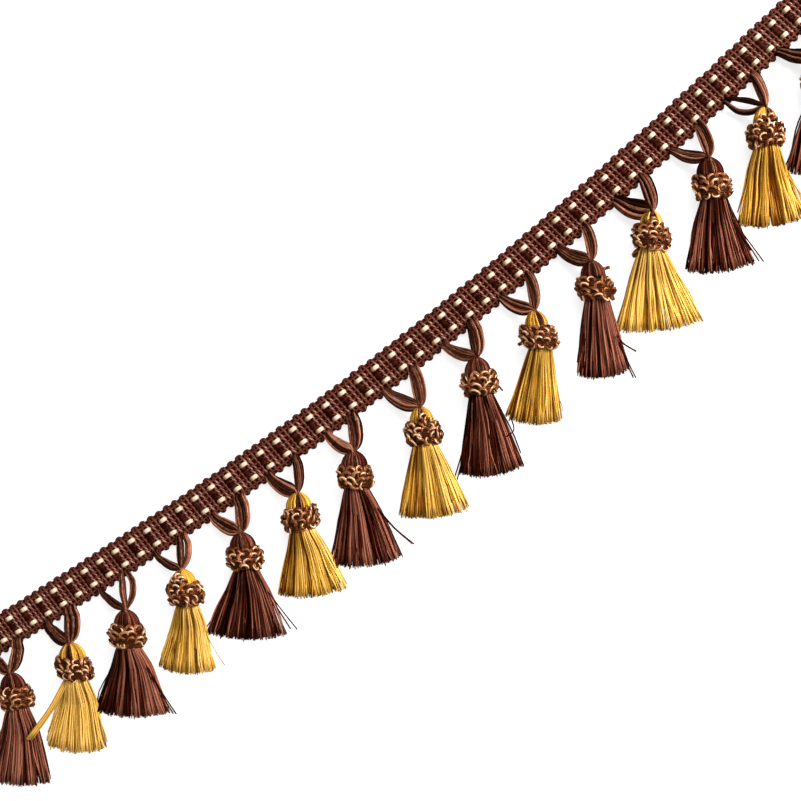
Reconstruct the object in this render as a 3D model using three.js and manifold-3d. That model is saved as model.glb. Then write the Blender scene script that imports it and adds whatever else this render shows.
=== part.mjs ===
// Tassel fringe trim: a woven gimp heading with a row of knotted tassels on yarn loops, laid flat.
// Millimetres, +Z up. +X runs along the heading, the tassels lie towards -Y, and the trim rests on Z = 0.
// The origin is under the middle of the whole trim's box.
import * as THREE from 'three';
import { mergeVertices } from 'three/addons/utils/BufferGeometryUtils.js';
import Module from 'manifold-3d';

const wasm = await Module();
wasm.setup();

// Heading: places are counted in cream stitches along it, and two scallops go to a stitch
const HEADING_WIDTH = 16;
const HEADING_THICKNESS = 2.6;
const SCALLOP_DEPTH = 0.9;
const RIB_HEIGHT = 0.5;
const FIRST_STITCH = -5.25;
const LAST_STITCH = 48.75;
const SCALLOPS_PER_STITCH = 2;
const POINTS_PER_SCALLOP = 3;
const STITCH_PITCH = 8.7;
// The middle line of the heading as it lies, in a shallow curve, every STATION_STEP stitches
const STATION_STEP = 8;
const STATIONS = [
  { stitch: -6, x: -226.1, y: 16.6 },
  { stitch: 2, x: -163.1, y: 9.6 },
  { stitch: 10, x: -95.9, y: 3.9 },
  { stitch: 18, x: -25.8, y: 0.6 },
  { stitch: 26, x: 45.8, y: 0.2 },
  { stitch: 34, x: 117.0, y: 2.7 },
  { stitch: 42, x: 185.6, y: 7.6 },
  { stitch: 50, x: 249.1, y: 13.5 },
];

// Hanger loops: each is sewn into the heading's lower edge at two places and passes through a tassel's head
const TASSEL_PITCH = 3.5;
const FIRST_LOOP = -3.25;
const LOOP_HALF_SPREAD = 0.86;
const LOOP_ROOT_GAP = 0.5;
const LOOP_ROOT_Z = 1.5;
const LOOP_EXIT = { length: 1.6, rise: 0.2 };
const LOOP_RADIUS = { root: 1.1, exit: 1.5, eye: 0.9 };
const LOOP_SIDES = 5;
const LOOP_FLATNESS = 0.75;
const LOOP_BOW = { left: 1.4, right: 1.8 };
// Each leg's swelling, at parts of the way from its exit to the eye
const LOOP_BELLY = [
  { part: 0.36, radius: 2.4 },
  { part: 0.7, radius: 2.23 },
];
// The eye in the tassel's head is an oval hollow. The loop's yarn turns in it at these places of the
// tassel's own frame.
const EYE = { start: -13, end: -6.4, halfWidth: 2.5, halfHeight: 1.25, sides: 8 };
const EYE_STOPS = [
  { along: -12.8, across: -1.5 },
  { along: -10.2, across: -1.05 },
  { along: -7.9, across: 0 },
  { along: -10.2, across: 1.05 },
  { along: -12.8, across: 1.5 },
];

// Ruff: a knotted ring around the tassel's head, a little flattened by its weight
const RUFF_RADIUS = 7.5;
const RUFF_BORE = 5.2;
const RUFF_LENGTH = 12.4;
const RUFF_EDGE_RADIUS = 6.7;
const RUFF_COLUMNS = 18;
const RUFF_ROWS = 3;
const KNOT_RAISE = 0.65;
const FLATNESS = 0.77;
const RUFF_Z = (RUFF_RADIUS + KNOT_RAISE) * FLATNESS;

// Tassel: its head's profile along the axis from the ruff's middle, and its skirt of yarn locks
const NECK_TO_RUFF = 9.5;
const HEAD_SIDES = 8;
const HEAD_PROFILE = [
  { along: -10.4, radius: 0 },
  { along: -9.5, radius: 2.9 },
  { along: -7.6, radius: 4.6 },
  { along: 6.5, radius: 4.6 },
  { along: 7.3, radius: 5.55 },
  { along: 8.8, radius: 5.55 },
  { along: 8.8, radius: 0 },
];
const LOCK_START = 8.4;
// Each layer's locks spread over its reach of the skirt's width, with their flat sides at these heights
const LAYERS = [
  { count: 8, rootHalf: 3.6, rootZ: 3.9, bendZ: 0, tipZ: 0, flatSide: 'down', reach: 1 },
  { count: 7, rootHalf: 3.4, rootZ: 8.4, bendZ: 5.0, tipZ: 3.2, flatSide: 'up', reach: 0.86 },
];
const LOCK_BEND = 0.4;
const LOCK_WIDTH_SHARE = 0.84;
const LOCK_HEIGHTS = [1.1, 1.9, 2.2];
// The tips end in a shallow arc, each a little off it by a wave that differs from lock to lock
const TIP_ARC = 0.06;
const TIP_UNEVEN = { height: 1.1, perLock: 7.3, perTassel: 3.1, perLayer: 1.7 };

// Each tassel, from the -X end: its neck's place along the heading from its loop's middle (mm) and below the
// heading's middle line (mm), the turn of its head and of its skirt from the common lay (degrees), the
// distance from the ruff's middle to the tips (mm) and the skirt's width there (mm)
const COMMON_LAY = -128;
const TASSELS = [
  { yarn: 'brown', shift: -2.0, drop: 17.4, lean: 12, sway: -4, length: 41, width: 28 },
  { yarn: 'gold', shift: 0.5, drop: 19.7, lean: 10, sway: -4, length: 39.5, width: 25 },
  { yarn: 'brown', shift: 0.5, drop: 20.4, lean: 5, sway: -1, length: 39, width: 30 },
  { yarn: 'gold', shift: 1.5, drop: 19.0, lean: 10, sway: -4, length: 36.5, width: 24 },
  { yarn: 'brown', shift: 1.7, drop: 20.0, lean: 9, sway: -2, length: 37.5, width: 32 },
  { yarn: 'gold', shift: 1.1, drop: 19.9, lean: 7, sway: 7, length: 36.5, width: 27 },
  { yarn: 'brown', shift: -0.1, drop: 19.5, lean: 4, sway: 7, length: 41, width: 29 },
  { yarn: 'gold', shift: 2.1, drop: 21.5, lean: 8, sway: 6, length: 38.5, width: 28 },
  { yarn: 'brown', shift: 1.9, drop: 19.6, lean: 8, sway: 8, length: 41.5, width: 25 },
  { yarn: 'gold', shift: 1.3, drop: 19.8, lean: 7, sway: -2, length: 37.5, width: 23 },
  { yarn: 'brown', shift: 1.0, drop: 19.1, lean: 10, sway: 5, length: 39.5, width: 23 },
  { yarn: 'gold', shift: 2.1, drop: 20.0, lean: 0, sway: 8, length: 40, width: 34 },
  { yarn: 'brown', shift: 2.8, drop: 19.3, lean: 9, sway: 7, length: 37.5, width: 26 },
  { yarn: 'gold', shift: 3.6, drop: 19.6, lean: 4, sway: 7, length: 39, width: 25 },
  { yarn: 'brown', shift: 5.0, drop: 19.8, lean: 6, sway: 3, length: 38, width: 27 },
];

// A lock that strays from its skirt and lies over the next one, by its stops in the tassel's frame
const STRAY = {
  tassel: 1,
  stops: [
    { along: 8.4, across: -3.4, z: 7.0 },
    { along: 18.7, across: -11.2, z: 6.6 },
    { along: 29, across: -19, z: 5.6 },
  ],
  halfWidths: [0.9, 0.9, 0.9],
  heights: [1, 1, 0.8],
  flatSide: 'up',
};

const materials = {
  heading: new THREE.MeshStandardMaterial({ color: 0x5e2c22, roughness: 0.6, metalness: 0 }),
  loop: new THREE.MeshStandardMaterial({ color: 0x4a2018, roughness: 0.55, metalness: 0 }),
  ruff: new THREE.MeshStandardMaterial({ color: 0x6b3a1e, roughness: 0.55, metalness: 0 }),
  brown: new THREE.MeshStandardMaterial({ color: 0x5a2a1c, roughness: 0.55, metalness: 0 }),
  gold: new THREE.MeshStandardMaterial({ color: 0xd9a233, roughness: 0.5, metalness: 0 }),
};

const UP = new THREE.Vector3(0, 0, 1);
const mix = THREE.MathUtils.lerp;

// Joining and cutting
function solidFrom(geometry) {
  const bare = geometry.index ? geometry.toNonIndexed() : geometry.clone();
  bare.deleteAttribute('normal');
  bare.deleteAttribute('uv');
  const merged = mergeVertices(bare, 1e-3);
  return new wasm.Manifold(new wasm.Mesh({
    numProp: 3,
    vertProperties: merged.attributes.position.array,
    triVerts: new Uint32Array(merged.index.array),
  }));
}

function geometryFrom(solid) {
  const { vertProperties, triVerts } = solid.getMesh();
  const geometry = new THREE.BufferGeometry();
  geometry.setAttribute('position', new THREE.BufferAttribute(vertProperties, 3));
  geometry.setIndex(new THREE.BufferAttribute(triVerts, 1));
  geometry.computeVertexNormals();
  return geometry;
}

function movePoints(geometry, place) {
  const points = geometry.attributes.position;
  const point = new THREE.Vector3();
  for (let i = 0; i < points.count; i++) {
    point.fromBufferAttribute(points, i);
    place(point);
    points.setXYZ(i, point.x, point.y, point.z);
  }
  return geometry;
}

// A straight cylinder of unit radius and height, carried onto a curve: closed ends, and a radius of its own
// at each step. Its section stays level, and is flattened in height.
function carried(curve, sides, steps, radiusAt, flatness) {
  const cylinder = new THREE.CylinderGeometry(1, 1, 1, sides, steps);
  return movePoints(cylinder, (point) => {
    const t = point.y + 0.5;
    const tangent = curve.getTangent(t);
    const across = new THREE.Vector3().crossVectors(tangent, UP).normalize();
    const up = new THREE.Vector3().crossVectors(across, tangent);
    const radius = radiusAt(t);
    const { x, z } = point;
    point.copy(curve.getPoint(t));
    point.addScaledVector(across, x * radius);
    point.addScaledVector(up, z * radius * flatness);
  });
}

// The heading
const middleLine = new THREE.CatmullRomCurve3(
  STATIONS.map(({ x, y }) => new THREE.Vector3(x, y, 0)), false, 'catmullrom', 0.5);

// The point at a stitch, some way across (the plain edge is +, the tassels' edge is -) and up
function onHeading(stitch, across, z) {
  const t = (stitch - STATIONS[0].stitch) / (STATION_STEP * (STATIONS.length - 1));
  const along = middleLine.getTangent(t);
  return middleLine.getPoint(t).add(new THREE.Vector3(-along.y * across, along.x * across, z));
}

function headingGeometry() {
  const scallops = (LAST_STITCH - FIRST_STITCH) * SCALLOPS_PER_STITCH;
  const steps = scallops * POINTS_PER_SCALLOP;
  const slab = new THREE.BoxGeometry(1, 1, 1, steps, 1, 1);
  return movePoints(slab, (point) => {
    const step = Math.round((point.x + 0.5) * steps);
    const valley = step % POINTS_PER_SCALLOP === 0;
    const stitch = mix(FIRST_STITCH, LAST_STITCH, step / steps);
    const width = HEADING_WIDTH - (valley ? 2 * SCALLOP_DEPTH : 0);
    const top = HEADING_THICKNESS - (valley ? RIB_HEIGHT : 0);
    point.copy(onHeading(stitch, point.y * width, point.z > 0 ? top : 0));
  });
}

// A tassel hangs in its own frame: its origin is the ruff's middle, +X runs down the tassel, +Y is its right
function tasselFrame({ shift, drop, lean }, loopMiddle) {
  const neck = onHeading(loopMiddle + shift / STITCH_PITCH, -drop, RUFF_Z);
  const turn = THREE.MathUtils.degToRad(COMMON_LAY + lean);
  const frame = new THREE.Group();
  frame.position.set(neck.x + NECK_TO_RUFF * Math.cos(turn), neck.y + NECK_TO_RUFF * Math.sin(turn), RUFF_Z);
  frame.rotation.z = turn;
  frame.updateMatrixWorld(true);
  return frame;
}

// The hanger loop
// The point part of the way from one place to another, bowed out to the right of the way there
function bowed(from, to, part, bow) {
  const span = new THREE.Vector3().subVectors(to, from);
  const outward = new THREE.Vector3(span.y, -span.x, 0).normalize().multiplyScalar(bow);
  return from.clone().lerp(to, part).add(outward);
}

// One leg's stops from the heading's edge to the eye, each with the yarn's radius there
function legStops(stitch, eyeEnd, bow, side) {
  const edge = -HEADING_WIDTH / 2 - LOOP_ROOT_GAP;
  const root = onHeading(stitch, edge, LOOP_ROOT_Z);
  const exit = onHeading(stitch, edge - LOOP_EXIT.length, LOOP_ROOT_Z + LOOP_EXIT.rise);
  return [
    { point: root, radius: LOOP_RADIUS.root },
    { point: exit, radius: LOOP_RADIUS.exit },
    ...LOOP_BELLY.map(({ part, radius }) => ({ point: bowed(exit, eyeEnd, part, bow * side), radius })),
  ];
}

function loopGeometry(frame, loopMiddle) {
  const eye = EYE_STOPS.map(
    ({ along, across }) => frame.localToWorld(new THREE.Vector3(along, across, 0)));
  const left = legStops(loopMiddle - LOOP_HALF_SPREAD, eye[0], LOOP_BOW.left, 1);
  const right = legStops(loopMiddle + LOOP_HALF_SPREAD, eye.at(-1), LOOP_BOW.right, -1).reverse();
  const stops = [...left, ...eye.map((point) => ({ point, radius: LOOP_RADIUS.eye })), ...right];
  const curve = new THREE.CatmullRomCurve3(stops.map(({ point }) => point), false, 'catmullrom', 0.5);
  const last = stops.length - 1;
  const radiusAt = (t) => {
    const i = Math.min(Math.floor(t * last), last - 1);
    return mix(stops[i].radius, stops[i + 1].radius, THREE.MathUtils.smoothstep(t * last - i, 0, 1));
  };
  return carried(curve, LOOP_SIDES, last, radiusAt, LOOP_FLATNESS);
}

// The knotted ruff
function ruffGeometry() {
  const half = RUFF_LENGTH / 2;
  const rowStep = RUFF_LENGTH / (RUFF_ROWS + 1);
  const profile = [new THREE.Vector2(RUFF_BORE, -half), new THREE.Vector2(RUFF_EDGE_RADIUS, -half)];
  for (let row = 1; row <= RUFF_ROWS; row++) {
    profile.push(new THREE.Vector2(RUFF_RADIUS, row * rowStep - half));
  }
  profile.push(new THREE.Vector2(RUFF_EDGE_RADIUS, half));
  profile.push(new THREE.Vector2(RUFF_BORE, half));
  profile.push(new THREE.Vector2(RUFF_BORE, -half));
  const ring = new THREE.LatheGeometry(profile, RUFF_COLUMNS);
  return movePoints(ring, (point) => {
    const radius = Math.hypot(point.x, point.z);
    const row = Math.round((point.y + half) / rowStep);
    const column = Math.round(Math.atan2(point.x, point.z) / (2 * Math.PI / RUFF_COLUMNS)) + RUFF_COLUMNS;
    const onRow = row >= 1 && row <= RUFF_ROWS;
    const raise = (row + column) % 2 === 0 ? KNOT_RAISE : -KNOT_RAISE;
    const grow = onRow ? (radius + raise) / radius : 1;
    point.set(point.y, -point.x * grow, point.z * grow * FLATNESS);
  });
}

// The tassel's head, hollowed where the loop's yarn turns in it
function headSolid() {
  const profile = HEAD_PROFILE.map(({ along, radius }) => new THREE.Vector2(radius, along));
  const body = movePoints(new THREE.LatheGeometry(profile, HEAD_SIDES), (point) => {
    point.set(point.y, -point.x, point.z * FLATNESS);
  });
  const eye = new THREE.CylinderGeometry(1, 1, EYE.end - EYE.start, EYE.sides);
  movePoints(eye, (point) => {
    const along = point.y + (EYE.start + EYE.end) / 2;
    point.set(along, -point.x * EYE.halfWidth, point.z * EYE.halfHeight);
  });
  return solidFrom(body).subtract(solidFrom(eye));
}

// One lock of the skirt: a three-sided prism whose flat side stays level
function lockGeometry({ stops, halfWidths, heights, flatSide }) {
  const prism = new THREE.CylinderGeometry(1, 1, 1, 3, 2);
  const side = flatSide === 'down' ? 1 : -1;
  return movePoints(prism, (point) => {
    const stop = Math.round(2 * (point.y + 0.5));
    const corner = Math.round(Math.atan2(point.x, point.z) / (2 * Math.PI / 3));
    const { along, across, z } = stops[stop];
    const rise = corner === 0 ? side * heights[stop] : 0;
    point.set(along, across - side * corner * halfWidths[stop], z + rise - RUFF_Z);
  });
}

function skirtLocks({ sway, lean, length, width }, index) {
  const swing = Math.tan(THREE.MathUtils.degToRad(sway - lean));
  const locks = [];
  LAYERS.forEach((layer, level) => {
    const tipHalf = (layer.reach * width * LOCK_WIDTH_SHARE) / 2;
    const halfs = [layer.rootHalf, mix(layer.rootHalf, tipHalf, LOCK_BEND), tipHalf];
    const halfWidths = halfs.map((half) => (half / (layer.count - 1)) * LOCK_WIDTH_SHARE);
    for (let i = 0; i < layer.count; i++) {
      const place = (2 * i) / (layer.count - 1) - 1;
      const wave = TIP_UNEVEN.perLock * i + TIP_UNEVEN.perTassel * index + TIP_UNEVEN.perLayer * level;
      const tipAlong = length * (1 - TIP_ARC * place * place) + TIP_UNEVEN.height * Math.sin(wave);
      const root = { along: LOCK_START, across: place * layer.rootHalf, z: layer.rootZ };
      const tip = { along: tipAlong, across: place * tipHalf + tipAlong * swing, z: layer.tipZ };
      const bend = {
        along: mix(root.along, tip.along, LOCK_BEND),
        across: mix(root.across, tip.across, LOCK_BEND),
        z: layer.bendZ,
      };
      locks.push({ stops: [root, bend, tip], halfWidths, heights: LOCK_HEIGHTS, flatSide: layer.flatSide });
    }
  });
  return locks;
}

// Putting it together
const trim = new THREE.Group();

function addMesh(parent, name, geometry, material) {
  const mesh = new THREE.Mesh(geometry, material);
  mesh.name = name;
  parent.add(mesh);
}

addMesh(trim, 'heading', headingGeometry(), materials.heading);
const head = headSolid();
TASSELS.forEach((tassel, index) => {
  const number = String(index + 1).padStart(2, '0');
  const loopMiddle = FIRST_LOOP + index * TASSEL_PITCH;
  const frame = tasselFrame(tassel, loopMiddle);
  const locks = skirtLocks(tassel, index);
  if (index === STRAY.tassel) locks.push(STRAY);
  const skirted = locks.reduce((solid, lock) => solid.add(solidFrom(lockGeometry(lock))), head);
  addMesh(frame, `tassel_${number}`, geometryFrom(skirted), materials[tassel.yarn]);
  addMesh(frame, `ruff_${number}`, ruffGeometry(), materials.ruff);
  addMesh(trim, `loop_${number}`, loopGeometry(frame, loopMiddle), materials.loop);
  trim.add(frame);
});

// The whole trim's box is centred over the origin
const middle = new THREE.Box3().setFromObject(trim, true).getCenter(new THREE.Vector3());
trim.position.set(-middle.x, -middle.y, 0);

export default trim;
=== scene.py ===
import math

import bpy
import numpy as np
from mathutils import Matrix, Vector


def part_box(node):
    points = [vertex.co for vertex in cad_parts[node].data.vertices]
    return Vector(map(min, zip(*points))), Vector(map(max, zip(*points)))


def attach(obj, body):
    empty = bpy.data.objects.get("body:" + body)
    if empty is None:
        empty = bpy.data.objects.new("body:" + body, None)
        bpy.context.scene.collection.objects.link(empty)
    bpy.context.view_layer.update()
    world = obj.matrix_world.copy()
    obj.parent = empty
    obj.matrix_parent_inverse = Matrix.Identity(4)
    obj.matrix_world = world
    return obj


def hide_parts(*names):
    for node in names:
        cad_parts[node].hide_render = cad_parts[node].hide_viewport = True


# A length of tassel fringe trim lying flat: a woven gimp heading, yarn loops sewn into its lower edge, and on
# each loop a yarn tassel with a knotted ruff. Sizes are in mm, and meshes are made in metres.
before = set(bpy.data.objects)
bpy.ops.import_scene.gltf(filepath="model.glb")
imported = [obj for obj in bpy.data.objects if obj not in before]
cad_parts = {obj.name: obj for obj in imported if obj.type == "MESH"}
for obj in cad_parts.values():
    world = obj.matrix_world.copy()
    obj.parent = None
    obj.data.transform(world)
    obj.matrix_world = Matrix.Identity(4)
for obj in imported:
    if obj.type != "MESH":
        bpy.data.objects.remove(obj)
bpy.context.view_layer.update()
MM = 0.001
rng = np.random.default_rng(17)

# The heading's ground
# A narrow band of fine dark brown warps that the thick cords are woven into. It lies in a shallow curve, and
# everything else is placed by its stitches: two scallops of cord go to one cream stitch.
HEADING_WIDTH = 16.0
SCALLOP_DEPTH = 0.9
FIRST_STITCH, LAST_STITCH = -5.25, 48.75
SCALLOPS_PER_STITCH, POINTS_PER_SCALLOP = 2, 3
FIRST_STATION, STATION_STEP = -6, 8
STATIONS = [
    (-226.1, 16.6), (-163.1, 9.6), (-95.9, 3.9), (-25.8, 0.6),
    (45.8, 0.2), (117.0, 2.7), (185.6, 7.6), (249.1, 13.5)]
GROUND = {"half_width": 6.9, "low": 0.05, "high": 0.95, "rings_per_stitch": 8}
GROUND_RED = (0.075, 0.005, 0.0005)
GROUND_COLOURS = {"shade": GROUND_RED, "body": GROUND_RED, "gloss": (0.10, 0.012, 0.003)}


def smooth_places(stops, place):
    """Points at these places, counted by stop, on a smooth line through the stops, and its direction."""
    stops = np.asarray(stops, float)
    stops = np.vstack([2 * stops[0] - stops[1], stops, 2 * stops[-1] - stops[-2]])
    span = np.clip(np.floor(place), 0, len(stops) - 4).astype(int)
    t = (place - span)[..., None]
    p0, p1, p2, p3 = (stops[span + i] for i in range(4))
    m1, m2 = (p2 - p0) / 2, (p3 - p1) / 2
    a, b = 2 * p1 - 2 * p2 + m1 + m2, -3 * p1 + 3 * p2 - 2 * m1 - m2
    return ((a * t + b) * t + m1) * t + p1, (3 * a * t + 2 * b) * t + m1


def on_heading(stitch, across, z):
    """Points of the heading at these stitches, so far across it (the plain edge is +) and so high, in mm."""
    stitch, across, z = np.broadcast_arrays(*(np.asarray(v, float) for v in (stitch, across, z)))
    point, along = smooth_places(STATIONS, (stitch - FIRST_STATION) / STATION_STEP)
    along /= np.linalg.norm(along, axis=-1, keepdims=True)
    left = np.stack([-along[..., 1], along[..., 0]], -1)
    return np.concatenate([point + left * across[..., None] + shift, z[..., None]], -1)


# The row's origin is under the middle of the whole trim's box, which moves the line above by the shift
shift = np.zeros(2)
scallop_points = np.arange((LAST_STITCH - FIRST_STITCH) * SCALLOPS_PER_STITCH * POINTS_PER_SCALLOP + 1)
scallop_stitches = FIRST_STITCH + scallop_points / (SCALLOPS_PER_STITCH * POINTS_PER_SCALLOP)
scallop_halves = HEADING_WIDTH / 2 - SCALLOP_DEPTH * (scallop_points % POINTS_PER_SCALLOP == 0)
outline = np.vstack([on_heading(scallop_stitches, side * scallop_halves, 0)[:, :2] for side in (-1, 1)])
shift = np.array(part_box("heading")[1])[:2] / MM - outline.max(0)

LOBE_SHARPNESS = 0.8


def beside_and_above(lines):
    """The directions across each line and up from it, at each of its points."""
    tangent = np.gradient(lines, axis=-2)
    tangent /= np.linalg.norm(tangent, axis=-1, keepdims=True)
    across = np.cross(tangent, (0.0, 0.0, 1.0))
    across /= np.linalg.norm(across, axis=-1, keepdims=True)
    return across, np.cross(across, tangent)


def strand_rings(centres, half_width, half_height, sides, turn=0.0, lobes=0.0, squareness=1.0):
    """Rings of points round each strand's line (strand, ring, 3), and their lay: the cosine and sine of the
    angle round the strand, and the length along it in mm. With lobes, the section is that of two plies, and
    with a squareness under 1 it is a flat one with rounded corners."""
    across, lift = beside_and_above(centres)
    shape = centres.shape[:2]
    around = np.arange(sides) * 2 * np.pi / sides
    angle = around + np.broadcast_to(turn, shape)[..., None]
    waist = 1 - np.abs(np.cos(around)) ** LOBE_SHARPNESS
    reach = 1 - np.broadcast_to(lobes, shape)[..., None] * waist
    cosine, sine = (np.sign(v) * np.abs(v) ** squareness for v in (np.cos(angle), np.sin(angle)))
    wide = np.broadcast_to(half_width, shape)[..., None] * reach * cosine
    tall = np.broadcast_to(half_height, shape)[..., None] * reach * sine
    rings = centres[:, :, None] + across[:, :, None] * wide[..., None] + lift[:, :, None] * tall[..., None]
    steps = np.linalg.norm(np.diff(centres, axis=1, prepend=centres[:, :1]), axis=-1)
    length = np.broadcast_to(np.cumsum(steps, 1)[..., None], rings.shape[:3])
    flat = np.broadcast_to(around, rings.shape[:3])
    return rings, np.stack([np.cos(flat), np.sin(flat), length], -1)


def joined_strands(name, *groups):
    """One mesh object of closed strands. Each group is (rings, lay, tint), where tint is a number for each
    strand, or for each of its rings, that its colour varies by."""
    points, lays, tints, loops, sizes = [], [], [], [], []
    start = 0
    for rings, lay, tint in groups:
        count, length, sides = rings.shape[:3]
        index = start + np.arange(count * length * sides).reshape(count, length, sides)
        near, far = index[:, :-1], index[:, 1:]
        quads = np.stack([near, far, np.roll(far, -1, 2), np.roll(near, -1, 2)], -1)
        loops += [quads.ravel(), index[:, 0].ravel(), index[:, -1, ::-1].ravel()]
        sizes += [np.full(quads.size // 4, 4), np.full(2 * count, sides)]
        points.append(rings.reshape(-1, 3))
        lays.append(lay.reshape(-1, 3))
        tint = np.atleast_1d(tint)
        tint = tint.reshape(tint.shape + (1,) * (3 - tint.ndim))
        tints.append(np.broadcast_to(tint, rings.shape[:3]).ravel())
        start += index.size
    sizes = np.concatenate(sizes)
    mesh = bpy.data.meshes.new(name)
    mesh.vertices.add(start)
    mesh.vertices.foreach_set("co", (np.vstack(points) * MM).ravel())
    mesh.loops.add(int(sizes.sum()))
    mesh.loops.foreach_set("vertex_index", np.concatenate(loops).astype(np.int32))
    mesh.polygons.add(len(sizes))
    mesh.polygons.foreach_set("loop_start", (np.cumsum(sizes) - sizes).astype(np.int32))
    mesh.update(calc_edges=True)
    mesh.shade_smooth()
    mesh.attributes.new("lay", "FLOAT_VECTOR", "POINT").data.foreach_set("vector", np.vstack(lays).ravel())
    mesh.attributes.new("tint", "FLOAT", "POINT").data.foreach_set("value", np.concatenate(tints))
    piece = bpy.data.objects.new(name, mesh)
    bpy.context.collection.objects.link(piece)
    return piece


PLY_ROUNDNESS = 0.6
FIBRES = {"around": 3.2, "along": 0.35, "apart": 91.0, "streak": 2.2}
FIBRE_NOISE = {"Scale": 1.7, "Detail": 3.0, "Roughness": 0.65}
LEVELS = {"middle": 0.62, "to_body": 1.8, "gloss_from": 0.55, "to_gloss": 2.0}


def set_inputs(node, values):
    """Sets these constants on a node, by the names of its sockets."""
    for name, value in values.items():
        node.inputs[name].default_value = value


def yarn_group():
    """The look that all the yarns share: plies wound round each other, with fibres along each ply. Lay Length
    is the mm of one turn of the plies. It gives the colour, with painted shade in the grooves between the
    plies and painted highlight on their crowns, and the height for a bump."""
    group = bpy.data.node_groups.new("wound_yarn", "ShaderNodeTree")
    sockets = group.interface
    for name in ("Shade", "Body", "Gloss"):
        sockets.new_socket(name, in_out="INPUT", socket_type="NodeSocketColor")
    for name in ("Lay Length", "Ply Depth", "Fibre Depth", "Tint Spread"):
        sockets.new_socket(name, in_out="INPUT", socket_type="NodeSocketFloat")
    sockets.new_socket("Color", in_out="OUTPUT", socket_type="NodeSocketColor")
    sockets.new_socket("Height", in_out="OUTPUT", socket_type="NodeSocketFloat")
    nodes, links = group.nodes, group.links
    given = nodes.new("NodeGroupInput").outputs
    result = nodes.new("NodeGroupOutput")

    def math_node(operation, a, b=None, c=None):
        node = nodes.new("ShaderNodeMath")
        node.operation = operation
        for socket, value in zip(node.inputs, (a, b, c)):
            if isinstance(value, (int, float)):
                socket.default_value = value
            elif value is not None:
                links.new(value, socket)
        return node.outputs[0]

    def colour_mix(factor, low, high):
        node = nodes.new("ShaderNodeMix")
        node.data_type = "RGBA"
        for name, value in [("Factor", factor), ("A", low), ("B", high)]:
            links.new(value, node.inputs[name])
        return node.outputs["Result"]

    lay = nodes.new("ShaderNodeAttribute")
    lay.attribute_name = "lay"
    parts = nodes.new("ShaderNodeSeparateXYZ")
    links.new(lay.outputs["Vector"], parts.inputs[0])
    cosine, sine, length = parts.outputs
    wound = math_node("MULTIPLY", math_node("DIVIDE", length, given["Lay Length"]), 2 * math.pi)
    side_on = math_node("MULTIPLY", cosine, math_node("COSINE", wound))
    side_off = math_node("MULTIPLY", sine, math_node("SINE", wound))
    ridge = math_node("POWER", math_node("ABSOLUTE", math_node("ADD", side_on, side_off)), PLY_ROUNDNESS)

    tint = nodes.new("ShaderNodeAttribute")
    tint.attribute_name = "tint"
    tint = tint.outputs["Fac"]
    stretched = nodes.new("ShaderNodeCombineXYZ")
    links.new(math_node("MULTIPLY", cosine, FIBRES["around"]), stretched.inputs[0])
    links.new(math_node("MULTIPLY", sine, FIBRES["around"]), stretched.inputs[1])
    drawn_out = math_node("MULTIPLY", length, FIBRES["along"])
    links.new(math_node("MULTIPLY_ADD", tint, FIBRES["apart"], drawn_out), stretched.inputs[2])
    noise = nodes.new("ShaderNodeTexNoise")
    set_inputs(noise, FIBRE_NOISE)
    links.new(stretched.outputs[0], noise.inputs["Vector"])
    fibre = math_node("SUBTRACT", noise.outputs["Fac"], 0.5)

    # Painted shade and highlight: the colour darkens towards Shade in the grooves between the plies and
    # lightens towards Gloss on their crowns. The tint and the fibre streaks move it too.
    sunk = math_node("MULTIPLY", math_node("SUBTRACT", 1.0, ridge), given["Ply Depth"])
    spread = math_node("MULTIPLY", math_node("SUBTRACT", tint, 0.5), given["Tint Spread"])
    streak = math_node("MULTIPLY", fibre, math_node("MULTIPLY", given["Fibre Depth"], FIBRES["streak"]))
    level = math_node(
        "ADD", math_node("ADD", spread, streak), math_node("SUBTRACT", LEVELS["middle"], sunk))
    body = colour_mix(math_node("MULTIPLY", level, LEVELS["to_body"]), given["Shade"], given["Body"])
    over = math_node("MULTIPLY", math_node("SUBTRACT", level, LEVELS["gloss_from"]), LEVELS["to_gloss"])
    links.new(colour_mix(over, body, given["Gloss"]), result.inputs["Color"])
    links.new(math_node("MULTIPLY_ADD", fibre, given["Fibre Depth"], ridge), result.inputs["Height"])
    return group


wound_yarn = yarn_group()
FIBRE_GLAZE = 0.06
BUMP_HEIGHT = 0.2


def yarn_material(name, shade, body, gloss, lay, ply, fibre, spread, roughness, bump, lustre=0.25):
    """A material of wound yarn. Its colours are linear, from the painted shade between plies to the lit
    fibres, whose gloss colour is partly painted highlight. A lustrous yarn reflects in its own colour."""
    material = bpy.data.materials.new(name)
    material.use_nodes = True
    nodes, links = material.node_tree.nodes, material.node_tree.links
    bsdf = nodes["Principled BSDF"]
    set_inputs(bsdf, {"Roughness": roughness, "Metallic": lustre, "Specular IOR Level": FIBRE_GLAZE,
                      "Specular Tint": (*np.array(gloss) / max(gloss), 1)})
    look = nodes.new("ShaderNodeGroup")
    look.node_tree = wound_yarn
    set_inputs(look, {"Shade": (*shade, 1), "Body": (*body, 1), "Gloss": (*gloss, 1)})
    set_inputs(look, {"Lay Length": lay, "Ply Depth": ply, "Fibre Depth": fibre, "Tint Spread": spread})
    relief = nodes.new("ShaderNodeBump")
    set_inputs(relief, {"Strength": bump, "Distance": BUMP_HEIGHT * MM})
    links.new(look.outputs["Height"], relief.inputs["Height"])
    links.new(relief.outputs["Normal"], bsdf.inputs["Normal"])
    links.new(look.outputs["Color"], bsdf.inputs["Base Color"])
    return material


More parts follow.
